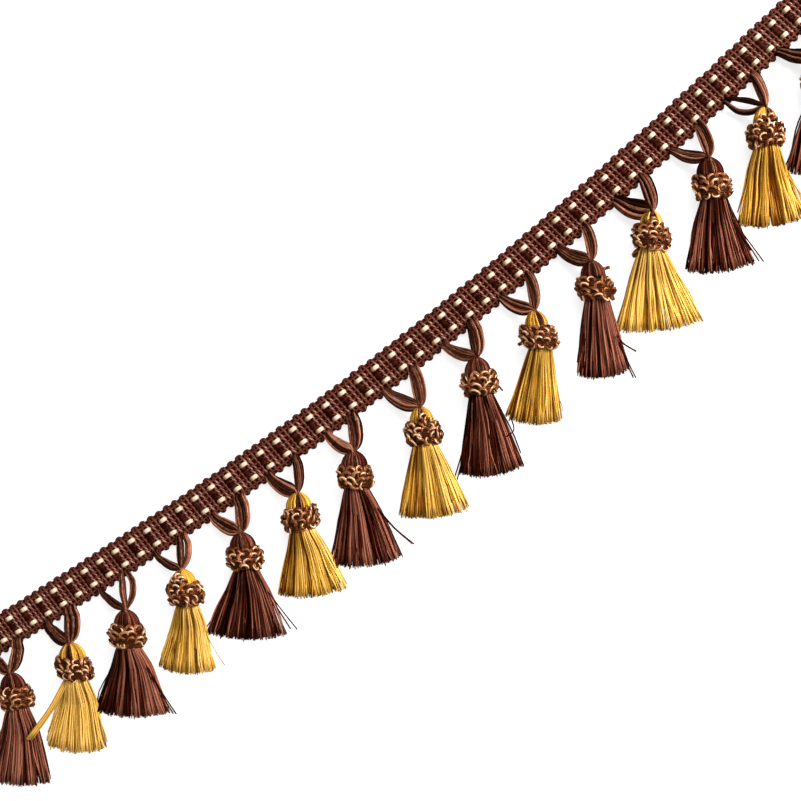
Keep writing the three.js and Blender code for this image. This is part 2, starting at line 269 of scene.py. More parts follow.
ground_ring_count = int((LAST_STITCH - FIRST_STITCH) * GROUND["rings_per_stitch"]) + 1
stitches = np.linspace(FIRST_STITCH, LAST_STITCH, ground_ring_count)
corners = [(-1, "low"), (1, "low"), (1, "high"), (-1, "high")]
ground_rings = np.stack(
    [on_heading(stitches, side * GROUND["half_width"], GROUND[level]) for side, level in corners], 1)[None]
ground_lay = np.zeros_like(ground_rings)
ground_lay[..., 1] = 1.0
ground_lay[..., 2] = ground_rings[..., 0]
ground = joined_strands("heading_ground", (ground_rings, ground_lay, 0.5))
ground.data.materials.append(yarn_material(
    "ground_warps", **GROUND_COLOURS, lay=2.0, ply=0.2, fibre=0.4, spread=0.1, roughness=0.8, bump=0.2))
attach(ground, "root")

# The heading's cords
# One thick lustrous brown cord of two plies goes to and fro across the band. Its turns at both edges are the
# scallops, and it is held by the warps alone. Painted shade makes it a little darker between the cream rows,
# and darker at its turns, where it bends down at the edges.
RUNS_PER_STITCH = 4
FIRST_RUN, RUN_UNEVEN = -5.18, 0.009
SLANT = -0.0094
CORD = {"z": 1.6, "edge_z": 1.1, "edge_half": 1, "sides": 8}
RUNS = {
    "half_width": [0.68, 0.74, 0.74, 0.64],
    "half_height": [0.62, 0.74, 0.76, 0.7],
    "lobes": [0.2, 0.28, 0.32, 0.08],
    "tint": [0.3, 0.95, 0.85, 0.6],
}
# The turns' low tint is painted shade where the cord bends down at the edges.
TURN = {"half_width": 0.82, "half_height": 0.75, "lobes": 0.12, "tint": 0.1}
STRAIGHT_HALF = 5.3
TURN_REACH = {1: 2.25, -1: 2.65}
TURN_UNEVEN = 0.2
TURN_SQUARENESS = 0.4
LAYS_PER_STITCH = 13
RUN_RINGS, TURN_RINGS, CHANGE_RINGS = 22, 8, 5
MIDDLE_SHADE = {"half_width": 3.2, "tint": 0.3}
CORD_COLOURS = {"shade": (0.02, 0.002, 0.0004), "body": (0.096, 0.030, 0.020), "gloss": (0.41, 0.22, 0.175)}

run_count = int((LAST_STITCH - FIRST_STITCH) * RUNS_PER_STITCH)
run_place = FIRST_RUN + np.arange(run_count) / RUNS_PER_STITCH
run_place = run_place + rng.normal(0, RUN_UNEVEN, run_count)
way = np.where(np.arange(run_count) % 2 == 0, 1.0, -1.0)[:, None]
straight = np.linspace(-1, 1, RUN_RINGS, endpoint=False)[None]
run_across = way * straight * STRAIGHT_HALF
run_stitch = np.broadcast_to(run_place[:, None], run_across.shape)
half_turn = (np.pi * np.arange(TURN_RINGS) / TURN_RINGS)[None]
turn_reach = np.where(way > 0, TURN_REACH[1], TURN_REACH[-1])
turn_reach = turn_reach + rng.uniform(-TURN_UNEVEN, TURN_UNEVEN, (run_count, 1))
turn_across = way * (STRAIGHT_HALF + turn_reach * np.sin(half_turn) ** TURN_SQUARENESS)
next_place = np.append(run_place[1:], run_place[-1] + 1 / RUNS_PER_STITCH)[:, None]
turn_middle = (run_place[:, None] + next_place) / 2
turn_stitch = turn_middle - (next_place - run_place[:, None]) / 2 * np.cos(half_turn)
cord_across = np.hstack([run_across, turn_across]).ravel()
cord_stitch = np.hstack([run_stitch, turn_stitch]).ravel() + SLANT * cord_across
past_straight = np.abs(cord_across) - STRAIGHT_HALF + CORD["edge_half"]
edge_share = np.clip(past_straight / (2 * CORD["edge_half"]), 0, 1)
cord_z = CORD["z"] + (CORD["edge_z"] - CORD["z"]) * edge_share
cord_line = on_heading(cord_stitch, cord_across, cord_z)[None]
rings_per_stitch = RUNS_PER_STITCH * (RUN_RINGS + TURN_RINGS)
cord_turn = 2 * np.pi * LAYS_PER_STITCH * np.arange(cord_line.shape[1]) / rings_per_stitch


def along_cord(value):
    """One of the cord's sizes at each of its rings: its run's, then the turn's, with a short change."""
    run_values = np.array(RUNS[value])[np.arange(run_count) % RUNS_PER_STITCH]
    in_turns = np.full((run_count, TURN_RINGS), TURN[value])
    rings = np.hstack([np.repeat(run_values[:, None], RUN_RINGS, 1), in_turns])
    padded = np.pad(rings.ravel(), CHANGE_RINGS // 2, mode="edge")
    return np.convolve(padded, np.ones(CHANGE_RINGS) / CHANGE_RINGS, mode="valid")[None]


middle_shade = MIDDLE_SHADE["tint"] * np.clip(MIDDLE_SHADE["half_width"] - np.abs(cord_across), 0, 1)
cord_rings = strand_rings(
    cord_line, along_cord("half_width"), along_cord("half_height"), CORD["sides"], cord_turn[None],
    along_cord("lobes"))
cords = joined_strands("heading_cords", (*cord_rings, along_cord("tint") - middle_shade))
LONG_LAY = 1e6
cords.data.materials.append(yarn_material(
    "brown_cord", **CORD_COLOURS, lay=LONG_LAY, ply=0.6, fibre=0.4, spread=0.6, roughness=0.34, bump=0.35,
    lustre=0.3))
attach(cords, "root")
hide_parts("heading")

# The heading's warps
# Thin golden brown warps run along the heading, under each cord and up between two, with a dark one at the
# root of the turns at each edge. Between the cream rows, flat dark satin warps float over a single cord and
# show as one pad to a stitch.

# Each warp's place across the heading, its half width, its height, how far it dips under a cord, and its tint
WARPS = [
    (7.0, 0.36, 0.9, 0.0, -1.2),
    (5.55, 0.3, 1.6, 0.2, 0.3),
    (3.17, 0.42, 1.5, 0.25, 0.5),
    (0.67, 0.42, 1.5, 0.25, 0.5),
    (-1.78, 0.42, 1.5, 0.25, 0.5),
    (-4.17, 0.42, 1.5, 0.25, 0.5),
    (-6.1, 0.3, 1.6, 0.2, 0.3),
    (-7.2, 0.4, 0.9, 0.0, -1.2),
]
WARP_HALF_HEIGHT, WARP_SIDES, WARP_RINGS_PER_RUN = 0.25, 5, 3
WARP_COLOURS = {"shade": (0.03, 0.004, 0.001), "body": (0.135, 0.038, 0.017), "gloss": (0.36, 0.15, 0.08)}
PAD = {"middle": -0.19, "half_length": 0.15, "half_width": 2.45, "warps": 6, "top": 2.35, "uneven": 0.07,
       "end": 1.3, "flatness": 2.6}
PAD_WARP = {"half_width": 0.44, "half_height": 0.26, "rings": 8, "sides": 5}
PAD_COLOURS = {
    "shade": (0.006, 0.0005, 0.0001), "body": (0.012, 0.0013, 0.0004), "gloss": (0.050, 0.011, 0.006)}

warp_stitch = np.linspace(FIRST_STITCH, LAST_STITCH, run_count * WARP_RINGS_PER_RUN + 1)
warp_wave = np.cos(2 * np.pi * RUNS_PER_STITCH * (warp_stitch - FIRST_RUN))
warp_across, warp_width, warp_z, warp_dip, warp_tint = (np.array(size)[:, None] for size in zip(*WARPS))
warp_lines = on_heading(warp_stitch + SLANT * warp_across, warp_across, warp_z - warp_dip * warp_wave)
warps = joined_strands("heading_warps", (
    *strand_rings(warp_lines, warp_width, WARP_HALF_HEIGHT, WARP_SIDES), warp_tint))
warps.data.materials.append(yarn_material(
    "golden_brown_warp", **WARP_COLOURS, lay=1.8, ply=0.4, fibre=0.3, spread=0.3, roughness=0.45, bump=0.3))
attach(warps, "root")

whole_stitches = np.arange(math.ceil(FIRST_STITCH), math.floor(LAST_STITCH) + 1)
pad_bow = np.linspace(-1, 1, PAD_WARP["rings"])
pad_places = (np.arange(PAD["warps"]) - (PAD["warps"] - 1) / 2) * 2 * PAD["half_width"] / PAD["warps"]
pad_shape = (len(whole_stitches), PAD["warps"], PAD_WARP["rings"])
pad_across = np.broadcast_to(pad_places[None, :, None], pad_shape)
pad_stitch = whole_stitches[:, None, None] + PAD["middle"] + pad_bow * PAD["half_length"] + SLANT * pad_across
pad_top = PAD["top"] + rng.normal(0, PAD["uneven"], pad_shape[:2])[..., None]
pad_z = PAD["end"] + (pad_top - PAD["end"]) * (1 - np.abs(pad_bow) ** PAD["flatness"])
pad_lines = on_heading(pad_stitch, pad_across, pad_z).reshape(-1, PAD_WARP["rings"], 3)
pads = joined_strands("heading_pads", (
    *strand_rings(pad_lines, PAD_WARP["half_width"], PAD_WARP["half_height"], PAD_WARP["sides"]),
    rng.uniform(0, 1, len(pad_lines))))
pads.data.materials.append(yarn_material(
    "dark_satin_warp", **PAD_COLOURS, lay=LONG_LAY, ply=0.0, fibre=0.6, spread=0.5, roughness=0.4, bump=0.4,
    lustre=0.15))
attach(pads, "root")

# The cream stitches
# Two cream warps run the length of the heading, 7 mm apart. Each floats over two cords, where it is pulled
# flat and wide, and then goes under the next two. The lower end of each float is in the shade.
CREAM = {"across": 3.5, "middle": -0.067, "half_width": 0.93, "half_height": 0.36, "pulled_in": 0.2,
         "top": 2.8, "under": 0.62, "float_share": 0.365, "steepness": 110, "sunk": 0.4, "rings": 20,
         "sides": 8}
CREAM_TINT = {"top": 0.9, "shade": 0.55, "shade_from": 0.1, "shade_over": 0.35}
CREAM_COLOURS = {"shade": (0.10, 0.045, 0.018), "body": (0.33, 0.215, 0.125), "gloss": (0.62, 0.46, 0.33)}

cream_stitch = np.arange((LAST_STITCH - FIRST_STITCH) * CREAM["rings"] + 1) / CREAM["rings"] + FIRST_STITCH
phase = (cream_stitch - CREAM["middle"] + 0.5) % 1 - 0.5
over = 1 / (1 + np.exp((np.abs(phase) - CREAM["float_share"] / 2) * CREAM["steepness"]))
sunk_end = np.clip(-phase / (CREAM["float_share"] / 2), 0, 1)
cream_z = CREAM["under"] + (CREAM["top"] - CREAM["under"] - CREAM["sunk"] * sunk_end) * over
cream_wide = CREAM["half_width"] * (1 - CREAM["pulled_in"] + CREAM["pulled_in"] * over)
# Painted shade: each float darkens at its sunk lower end and where it goes under the cords.
shaded = np.clip((sunk_end - CREAM_TINT["shade_from"]) / CREAM_TINT["shade_over"], 0, 1)
cream_tint = np.clip(CREAM_TINT["top"] * over - CREAM_TINT["shade"] * shaded, 0, 1)
cream_lines = np.stack([
    on_heading(cream_stitch + SLANT * side * CREAM["across"], side * CREAM["across"], cream_z)
    for side in (-1, 1)])
cream = joined_strands("cream_stitches", (
    *strand_rings(cream_lines, cream_wide[None], CREAM["half_height"], CREAM["sides"], squareness=0.7),
    np.stack([cream_tint, cream_tint])))
cream.data.materials.append(yarn_material(
    "cream_warp", **CREAM_COLOURS, lay=LONG_LAY, ply=0.0, fibre=0.4, spread=1.0, roughness=0.45, bump=0.45))
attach(cream, "root")

# The hanger loops
# A bundle of smooth dark brown yarn for each tassel, sewn into the heading at two places. Its strands rise
# over the lower edge, swell apart along each leg, draw together at the neck, and lie in the fold of the
# tassel's head until the ruff covers them.
LEFT, RIGHT = -1, 1
LEG_STRANDS, LEG_RINGS = 20, 15
LEG_ROOT = {"inside": 1.9, "z": 1.4, "follow": 0.08}
LEG_NECK = {"along": -10.6, "apart": 0.6}
LEG_RISE = {"height": 1.2, "share": 0.35}
LEG_TWIST = 0.5
SPLIT_SHARE = 1.1
# Each leg's tone, and the tones listed for some tassels, lighten or darken its strands: partly the yarn's own
# tone and partly painted light and shade on that leg.
LEGS = {
    LEFT: {
        "spread": 0.62, "bow": 1.2, "bends": (0.36, 0.7), "tone_and_light": 0.05,
        "stops": [(0.0, 1.9, 0.8), (0.2, 2.6, 1.3), (0.45, 3.2, 1.6), (0.7, 3.5, 1.6), (0.85, 3.2, 1.4),
                  (0.94, 2.3, 1.1), (1.0, 1.3, 0.9)],
        "fatness": {0: 0.9, 2: 0.6, 3: 0.65, 5: 1.1, 8: 0.9, 10: 1.1, 11: 1.35, 12: 0.9, 13: 0.75},
        "splits": {4: 0.4, 7: 0.7, 9: 0.4, 12: 0.5, 13: 3.2},
        "tones_and_light": {3: -0.05, 4: 0.15, 7: -0.2, 8: 0.3, 9: -0.2, 10: -0.3, 11: -0.2, 13: -0.3, 14: -0.4},
    },
    RIGHT: {
        "spread": 0.94, "bow": 0.9, "bends": (0.26, 0.66), "tone_and_light": 0.0,
        "stops": [(0.0, 2.9, 0.8), (0.18, 3.2, 1.3), (0.4, 3.4, 1.6), (0.65, 3.4, 1.6), (0.83, 2.9, 1.4),
                  (0.93, 2.1, 1.1), (1.0, 1.2, 0.9)],
        "fatness": {1: 1.2, 2: 0.85, 4: 1.1, 5: 0.75, 6: 1.1, 8: 1.05, 9: 0.9, 10: 0.85, 11: 0.95, 13: 0.8},
        "splits": {2: 2.6, 3: 0.9},
        "tones_and_light": {1: 0.1, 2: 0.15, 4: 0.1, 5: -0.2, 6: 0.1, 7: 0.3, 10: 0.1, 11: -0.3},
    },
}
STRAND = {"half_width": 0.5, "half_height": 0.42, "sides": 5, "reach": 0.88, "uneven": (0.92, 1.0)}
STRAND_SWELL = [(0, 0.7), (0.1, 0.8), (0.3, 1.1), (0.55, 0.95), (0.68, 0.6), (1, 0.55)]
# The fold's tint darkens the strands that lie in the fold of the head: painted shade.
FOLD = {"out": 0.35, "half_height": 0.3, "rings": 13, "tint": -0.25, "tint_rings": 3}
FOLD_STOPS = [(-9.1, 0.45), (-8.0, 0.9), (-6.4, 1.25), (-4.6, 1.3), (-2.8, 1.1)]
LOOP_COLOURS = {
    "shade": (0.004, 0.0008, 0.0003), "body": (0.032, 0.0078, 0.0036), "gloss": (0.26, 0.102, 0.058)}

# Each tassel hangs from its own loop, 3.5 stitches from the next, and lies as it was combed. shift and drop
# are its neck's place from its loop's middle; length and width are its skirt's, from the ruff's middle and at
# the tips, in mm. lean and sway turn its head and its skirt from the common lay, and part is how far round
# its head the loop lies, in degrees. dome is how full its head is.
STITCH_PITCH = 8.7
TASSEL_PITCH, FIRST_LOOP = 3.5, -3.25
NECK_TO_RUFF = 9.5
FLATNESS = 0.77
WIDEST_RUFF = 8.15
RUFF_Z = WIDEST_RUFF * FLATNESS
COMMON_LAY = -128
TASSEL_YARNS = ("brown", "gold")
TASSEL_SIZES = ("shift", "drop", "lean", "sway", "length", "width", "dome", "part")
TASSELS = [
    (-2.0, 17.4, 12, -4, 41, 28, 1.0, 80),
    (0.5, 19.7, 10, -4, 39.5, 25, 1.05, 90),
    (0.5, 20.4, 5, -1, 39, 30, 1.0, 80),
    (1.5, 19.0, 10, -4, 36.5, 24, 1.0, 105),
    (1.7, 20.0, 9, -2, 37.5, 32, 1.0, 88),
    (1.1, 19.9, 7, 7, 36.5, 27, 1.0, 80),
    (-0.1, 19.5, 4, 7, 41, 29, 1.0, 80),
    (2.1, 21.5, 8, 6, 38.5, 28, 0.9, 86),
    (1.9, 19.6, 8, 8, 41.5, 25, 1.0, 72),
    (1.3, 19.8, 11, -4.5, 37.5, 21.5, 0.85, 60),
    (1.0, 19.1, 10, 5, 39.5, 20.5, 0.9, 80),
    (2.1, 20.0, 0, 8, 40, 34, 0.85, 84),
    (2.8, 19.3, 9, 7, 37.5, 26, 1.0, 80),
    (3.6, 19.6, 4, 7, 39, 25, 0.85, 60),
    (5.0, 19.8, 6, 3, 38, 27, 1.0, 80),
]
HEAD_STOPS = [(-10.2, 0.5), (-9.5, 1.6), (-8.4, 2.9), (-6.9, 4.1), (-5.2, 4.8), (-3.6, 5.0), (-2.0, 4.8)]
GOLDEN_ANGLE = np.pi * (3 - math.sqrt(5))

tassels = [dict(zip(TASSEL_SIZES, sizes), yarn=TASSEL_YARNS[k % 2]) for k, sizes in enumerate(TASSELS)]


def loop_middle(k):
    """The stitch over the middle of loop k."""
    return FIRST_LOOP + k * TASSEL_PITCH


def in_tassel(k, along, across, z):
    """Points of tassel k: along it from its ruff's middle, across it (+ is its right), and up."""
    neck = on_heading(loop_middle(k) + tassels[k]["shift"] / STITCH_PITCH, -tassels[k]["drop"], 0.0)
    turn = math.radians(COMMON_LAY + tassels[k]["lean"])
    down = np.array([math.cos(turn), math.sin(turn), 0.0])
    right = np.array([-math.sin(turn), math.cos(turn), 0.0])
    along, across, z = np.broadcast_arrays(*(np.asarray(v, float) for v in (along, across, z)))
    place = neck + (NECK_TO_RUFF + along)[..., None] * down + across[..., None] * right
    place[..., 2] = z
    return place


def head_radius(k, along):
    """The radius of tassel k's head at this place along it."""
    alongs, radii = zip(*HEAD_STOPS)
    return tassels[k]["dome"] * np.interp(along, alongs, radii)


def by_share(stops, shares):
    """A size at these shares of a strand's length, from stops of (share, size)."""
    return np.interp(shares, *zip(*stops))


def smooth_line(stops, count):
    """count points on a smooth line through these stops, evenly by stop."""
    return smooth_places(stops, np.linspace(0, len(stops) - 1, count))[0]


def fold_point(k, along, half, angle):
    """Where a strand that is at this angle of the bundle passes this stop of the part in tassel k's head."""
    radius = head_radius(k, along) + FOLD["out"] + FOLD["half_height"] * math.sin(angle)
    around = math.radians(tassels[k]["part"]) - half * math.cos(angle) / radius
    return in_tassel(k, along, radius * math.cos(around), RUFF_Z + FLATNESS * radius * math.sin(around))


def loop_leg(k, side):
    """The strands of one leg of loop k, each from inside the heading's edge to the fold."""
    leg = LEGS[side]
    follow = LEG_ROOT["follow"] * max(tassels[k]["shift"], 0) * (side == RIGHT)
    root_across = LEG_ROOT["inside"] - HEADING_WIDTH / 2
    root = on_heading(loop_middle(k) + side * leg["spread"] + follow, root_across, LEG_ROOT["z"])
    neck = in_tassel(k, LEG_NECK["along"], LEG_NECK["apart"] * side, RUFF_Z)
    way = neck - root
    aside = np.array([way[1], -way[0], 0.0])
    aside /= np.linalg.norm(aside)
    bends = [root + way * part - aside * side * leg["bow"] for part in leg["bends"]]
    spine = smooth_line([root, *bends, neck], LEG_RINGS)
    share = np.linspace(0, 1, LEG_RINGS)
    spine[:, 2] += LEG_RISE["height"] * np.sin(np.pi * np.clip(share / LEG_RISE["share"], 0, 1))
    parts, widths, heights = zip(*leg["stops"])
    wide = np.interp(share, parts, widths) * leg["fatness"].get(k, 1.0)
    tall = np.interp(share, parts, heights)
    split = leg["splits"].get(k, 0.0) * np.sin(np.pi * np.clip(share * SPLIT_SHARE, 0, 1)) / 2
    across, lift = beside_and_above(spine)
    twist = 0.0 if k in leg["splits"] else side * LEG_TWIST
    strands = []
    for i in range(LEG_STRANDS):
        angle = i * GOLDEN_ANGLE + k + twist * (share - 0.5)
        reach = STRAND["reach"] * math.sqrt((i + 0.5) / LEG_STRANDS) * rng.uniform(*STRAND["uneven"])
        out = wide * np.cos(angle) * reach + split * np.sign(np.cos(angle[0]))
        line = spine + across * out[:, None] + lift * (tall * np.sin(angle) * reach)[:, None]
        fold = [fold_point(k, along, half, angle[-1]) for along, half in FOLD_STOPS]
        tail = smooth_line([line[-2], line[-1], *fold], FOLD["rings"])[3:]
        strands.append(np.vstack([line, tail]))
    return np.array(strands)


loop_yarn = yarn_material(
    "loop_yarn", **LOOP_COLOURS, lay=LONG_LAY, ply=0.0, fibre=0.9, spread=1.35, roughness=0.36, bump=0.35)
for k in range(len(tassels)):
    strands = np.concatenate([loop_leg(k, side) for side in LEGS])
    fatness = np.repeat([leg["fatness"].get(k, 1.0) for leg in LEGS.values()], LEG_STRANDS)[:, None]
    tone_and_light = np.repeat([leg["tones_and_light"].get(k, leg["tone_and_light"]) for leg in LEGS.values()], LEG_STRANDS)
    # Painted shade: the strands darken where they lie in the fold of the tassel's head.
    in_fold = np.clip((np.arange(strands.shape[1]) - LEG_RINGS) / FOLD["tint_rings"], 0, 1)
    swell = by_share(STRAND_SWELL, np.linspace(0, 1, strands.shape[1]))
    rings = strand_rings(
        strands, STRAND["half_width"] * fatness * swell, STRAND["half_height"] * swell, STRAND["sides"])
    tint = (rng.uniform(0, 1, len(strands)) + tone_and_light)[:, None] + FOLD["tint"] * in_fold
    piece = joined_strands(f"hanger_loop_{k + 1:02d}", (*rings, tint))
    piece.data.materials.append(loop_yarn)
    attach(piece, "root")
    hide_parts(f"loop_{k + 1:02d}")

# The tassels
# Soft two-ply yarns folded over the loop: a small dome of them shows above the ruff, parted where the loop's
# end lies in it, and the cut ends make the skirt, which has fallen flat on the surface and spread to a fan.
YARNS = 300
YARN = {"radius": 0.3, "uneven": 0.2, "sides": 4, "rings": 9}
YARN_TAPER = [(0, 0.9), (0.1, 1), (0.9, 1), (1, 0.8)]
SKIRT = {"start": 4.6, "half_width": 4.5, "half_height": 3.4, "bend_z": 5.6, "tip_z": 3.5, "fall": 0.42,
         "flare": 1.14, "opening": 0.95, "settled": (0.84, 1.0), "thinnest": 0.05}
LOCKS = {"count": 13, "pull": 0.1, "drop": 0.45}
GROOVES = {"count": 3, "reach": 0.85, "half_widths": (0.04, 0.09), "depth": 0.4, "shade": 0.7}
TIPS = {"arc": 0.06, "back": 0.8, "uneven": 0.55, "short_share": 0.08, "short": (1, 5)}
WAVE = {"turn": (4, 9), "loose_share": 0.2, "loose": (0.6, 1.3), "calm": (0.1, 0.4), "lift": 0.12}
SKIRT_TINT = {"middle": 0.42, "by_level": 0.9, "level": 0.6, "uneven": 0.3, "fade": 0.2, "fade_turn": (3, 9)}
DOME = {"yarns": 32, "half_width": 0.66, "half_height": 0.5, "half_gap": 20, "uneven": 0.03, "askew": 2}
DOME_TAPER = [(0, 0.35), (0.4, 0.85), (1, 1)]
DOME_TINT = (0.0, 0.75)

# How much lighter each skirt is all over, partly its yarn's own tone and partly painted light, and how much
# lighter towards its right, as painted light on its lit side, and the middles and half widths of the dark
# grooves that some have, darkened with painted shade
SKIRT_TONE_AND_PAINTED_LIGHT = [
    (0.07, 0.13), (0.24, 0.04), (0.1, 0.75), (0.08, 0.39), (-0.15, 0.08), (-0.12, 0.45), (0.08, 0.25),
    (0.06, 0.2), (-0.08, 0.12), (-0.06, 0.28), (0.03, 0.18), (0.12, 0.0), (-0.08, 0.08), (-0.18, 0.0),
    (0.0, 0.08)]
OWN_GROOVES = {7: [(-0.55, 0.2)], 9: [(0.02, 0.08), (-0.85, 0.1)], 11: [(-0.8, 0.04)], 13: [(0.1, 0.22)]}
TASSEL_COLOURS = {
    "gold": {"shade": (0.12, 0.026, 0.002), "body": (0.545, 0.295, 0.035), "gloss": (0.80, 0.49, 0.125)},
    "brown": {
        "shade": (0.004, 0.0004, 0.0002), "body": (0.050, 0.0079, 0.0033), "gloss": (0.31, 0.109, 0.065)},
}

# Yarns that lie apart from their skirt, by tassel: how many, how wide they fan, their radius, how light they
# get, and their stops. A stop is a share of the way to the tips, a place aside of the skirt's middle (its
# edges are at -1 and 1), and a height.
STRAYS = {
    1: [(6, 1.1, 0.36, 0.9, [(0.0, -0.7, 7.2), (0.36, -1.25, 6.8), (0.71, -1.74, 5.6)])],
    2: [(4, 3.0, 0.34, 0.4, [(0.3, 0.75, 3.0), (0.7, 0.94, 1.2), (0.98, 1.06, 0.4)])],
    3: [(1, 1.0, 0.2, 0.4, [(0.5, 0.9, 1.6), (0.8, 1.15, 0.6), (0.97, 1.3, 0.3)])],
    4: [(2, 6.0, 0.3, 0.4, [(0.4, 0.9, 2.0), (0.7, 1.08, 0.8), (0.95, 1.2, 0.3)]),
        (3, 4.0, 0.26, 0.4, [(0.4, -0.9, 2.0), (0.7, -1.06, 0.8), (0.9, -1.18, 0.4)])],
    6: [(2, 1.5, 0.3, 0.4, [(0.3, 0.9, 3.0), (0.55, 1.18, 1.2), (0.76, 1.5, 0.4)])],
    8: [(1, 1.0, 0.3, 0.4, [(0.56, 0.8, 3.0), (0.5, 1.2, 1.6), (0.36, 1.35, 1.0)]),
        (2, 3.0, 0.3, 0.4, [(0.5, -0.9, 1.6), (0.8, -1.06, 0.5), (0.98, -1.14, 0.3)])],
    9: [(1, 1.0, 0.2, 0.4, [(0.75, 1.0, 1.2), (0.82, 1.06, 0.8), (0.9, 1.04, 0.5)])],
    10: [(1, 1.0, 0.38, 0.4, [(0.52, 0.85, 3.2), (0.64, 1.1, 1.8), (0.75, 1.5, 0.6)]),
         (2, 2.0, 0.3, 0.4, [(0.6, 0.9, 2.4), (0.85, 1.0, 0.8), (1.06, 1.1, 0.3)])],
    12: [(3, 4.0, 0.3, 0.4, [(0.4, 0.85, 2.4), (0.7, 1.05, 0.8), (0.94, 1.14, 0.3)])],
    13: [(1, 1.0, 0.3, 0.4, [(0.4, 0.9, 2.2), (0.7, 1.2, 0.8), (0.85, 1.08, 0.4)])],
}
STRAY = {"pitch": 1.6, "root": 0.8, "lag": 0.2, "lowest": 0.5, "over": 0.3, "darkest": 0.1}

tassel_yarn = {
    yarn: yarn_material(
        f"{yarn}_tassel_yarn", **colours, lay=1.8, ply=0.28, fibre=0.5, spread=1.0, roughness=0.36, bump=0.35)
    for yarn, colours in TASSEL_COLOURS.items()
}


def on_skirt(k, share, aside, tip_along):
    """Places along and across tassel k for a yarn this far out from the skirt's middle (its edges are at
    -1 and 1), at this share of its way to its tip."""
    along = SKIRT["start"] + (tip_along - SKIRT["start"]) * share
    tip_half = tassels[k]["width"] / 2 * SKIRT["flare"]
    half = SKIRT["half_width"] + (tip_half - SKIRT["half_width"]) * share ** SKIRT["opening"]
    swing = math.tan(math.radians(tassels[k]["sway"] - tassels[k]["lean"]))
    return along, half * aside + swing * (along - SKIRT["start"])


def skirt_grooves(k, aside):
    """How deep each yarn of tassel k lies in a groove: one of chance, or the tassel's own."""
    middles = rng.uniform(-GROOVES["reach"], GROOVES["reach"], GROOVES["count"])
    half_widths = rng.uniform(*GROOVES["half_widths"], GROOVES["count"])
    places = [*zip(middles, half_widths), *OWN_GROOVES.get(k, [])]
    return np.max([np.exp(-((aside - middle) / half_width) ** 2) for middle, half_width in places], 0)


def skirt_tips(k, aside):
    """How far along tassel k each yarn ends: in a shallow arc square to its sway, some cut short."""
    tip = tassels[k]["length"] * (1 - TIPS["arc"] * aside ** 2) - TIPS["back"]
    tip = tip + rng.normal(0, TIPS["uneven"], YARNS)
    tip -= np.where(rng.uniform(0, 1, YARNS) < TIPS["short_share"], rng.uniform(*TIPS["short"], YARNS), 0)
    swing = math.radians(tassels[k]["sway"] - tassels[k]["lean"])
    return tip - math.sin(swing) * tassels[k]["width"] / 2 * aside


def skirt_lines(k):
    """The yarns of tassel k's skirt, spread evenly over its section at the ruff and drawn into locks at the
    tips, and how light each one is: the deep ones are in the shade."""
    i = np.arange(YARNS)
    out = np.sqrt((i + 0.5) / YARNS)
    angle = i * GOLDEN_ANGLE + k
    aside, height = out * np.cos(angle), out * np.sin(angle)
    level = (height / np.sqrt(1 - aside ** 2 + 1e-6) + 1) / 2 * rng.uniform(*SKIRT["settled"], YARNS)
    lock_middles = np.sort(rng.uniform(-1, 1, LOCKS["count"]))
    lock = np.abs(aside[:, None] - lock_middles[None]).argmin(1)
    drawn = LOCKS["pull"] * (lock_middles[lock] - aside)
    lock_drop = rng.uniform(0, LOCKS["drop"], LOCKS["count"])[lock]
    groove = skirt_grooves(k, aside)
    tip_along = skirt_tips(k, aside)
    t = np.linspace(0, 1, YARN["rings"])[None]
    along, across = on_skirt(k, t, aside[:, None] + drawn[:, None] * t, tip_along[:, None])
    wave = rng.uniform(0, 2 * np.pi, (YARNS, 1)) + t * rng.uniform(*WAVE["turn"], (YARNS, 1))
    loose = rng.uniform(0, 1, YARNS) < WAVE["loose_share"]
    swing = np.where(loose, rng.uniform(*WAVE["loose"], YARNS), rng.uniform(*WAVE["calm"], YARNS))
    across = across + swing[:, None] * np.sin(wave) * t
    fallen = np.clip(t / SKIRT["fall"], 0, 1)
    fallen = fallen * fallen * (3 - 2 * fallen)
    crown = np.sqrt(np.clip(1 - aside ** 2, SKIRT["thinnest"], 1))[:, None]
    top = SKIRT["bend_z"] + (SKIRT["tip_z"] - SKIRT["bend_z"]) * t
    top = top * (1 - GROOVES["depth"] * groove[:, None])
    pile = (top * (1 - lock_drop[:, None] * t) - 2 * YARN["radius"]) * crown * level[:, None]
    rooted = RUFF_Z + height[:, None] * SKIRT["half_height"]
    z = (1 - fallen) * rooted + fallen * (YARN["radius"] + pile)
    z = np.maximum(z + WAVE["lift"] * np.cos(wave) * t, YARN["radius"] * (1 + YARN["uneven"]))
    tint = SKIRT_TINT["middle"] + SKIRT_TINT["by_level"] * (level - SKIRT_TINT["level"])
    tint = tint + rng.normal(0, SKIRT_TINT["uneven"], YARNS) - GROOVES["shade"] * groove
    # Painted light: each skirt gets lighter towards its right by the slope, and its tone is partly painted
    # light too.
    tone_and_light, painted_light_slope = SKIRT_TONE_AND_PAINTED_LIGHT[k]
    tint = np.clip(tint, 0, 1) + tone_and_light + painted_light_slope * aside
    fade = rng.uniform(0, 2 * np.pi, (YARNS, 1)) + t * rng.uniform(*SKIRT_TINT["fade_turn"], (YARNS, 1))
    return in_tassel(k, along, across, z), tint[:, None] + SKIRT_TINT["fade"] * np.sin(fade)


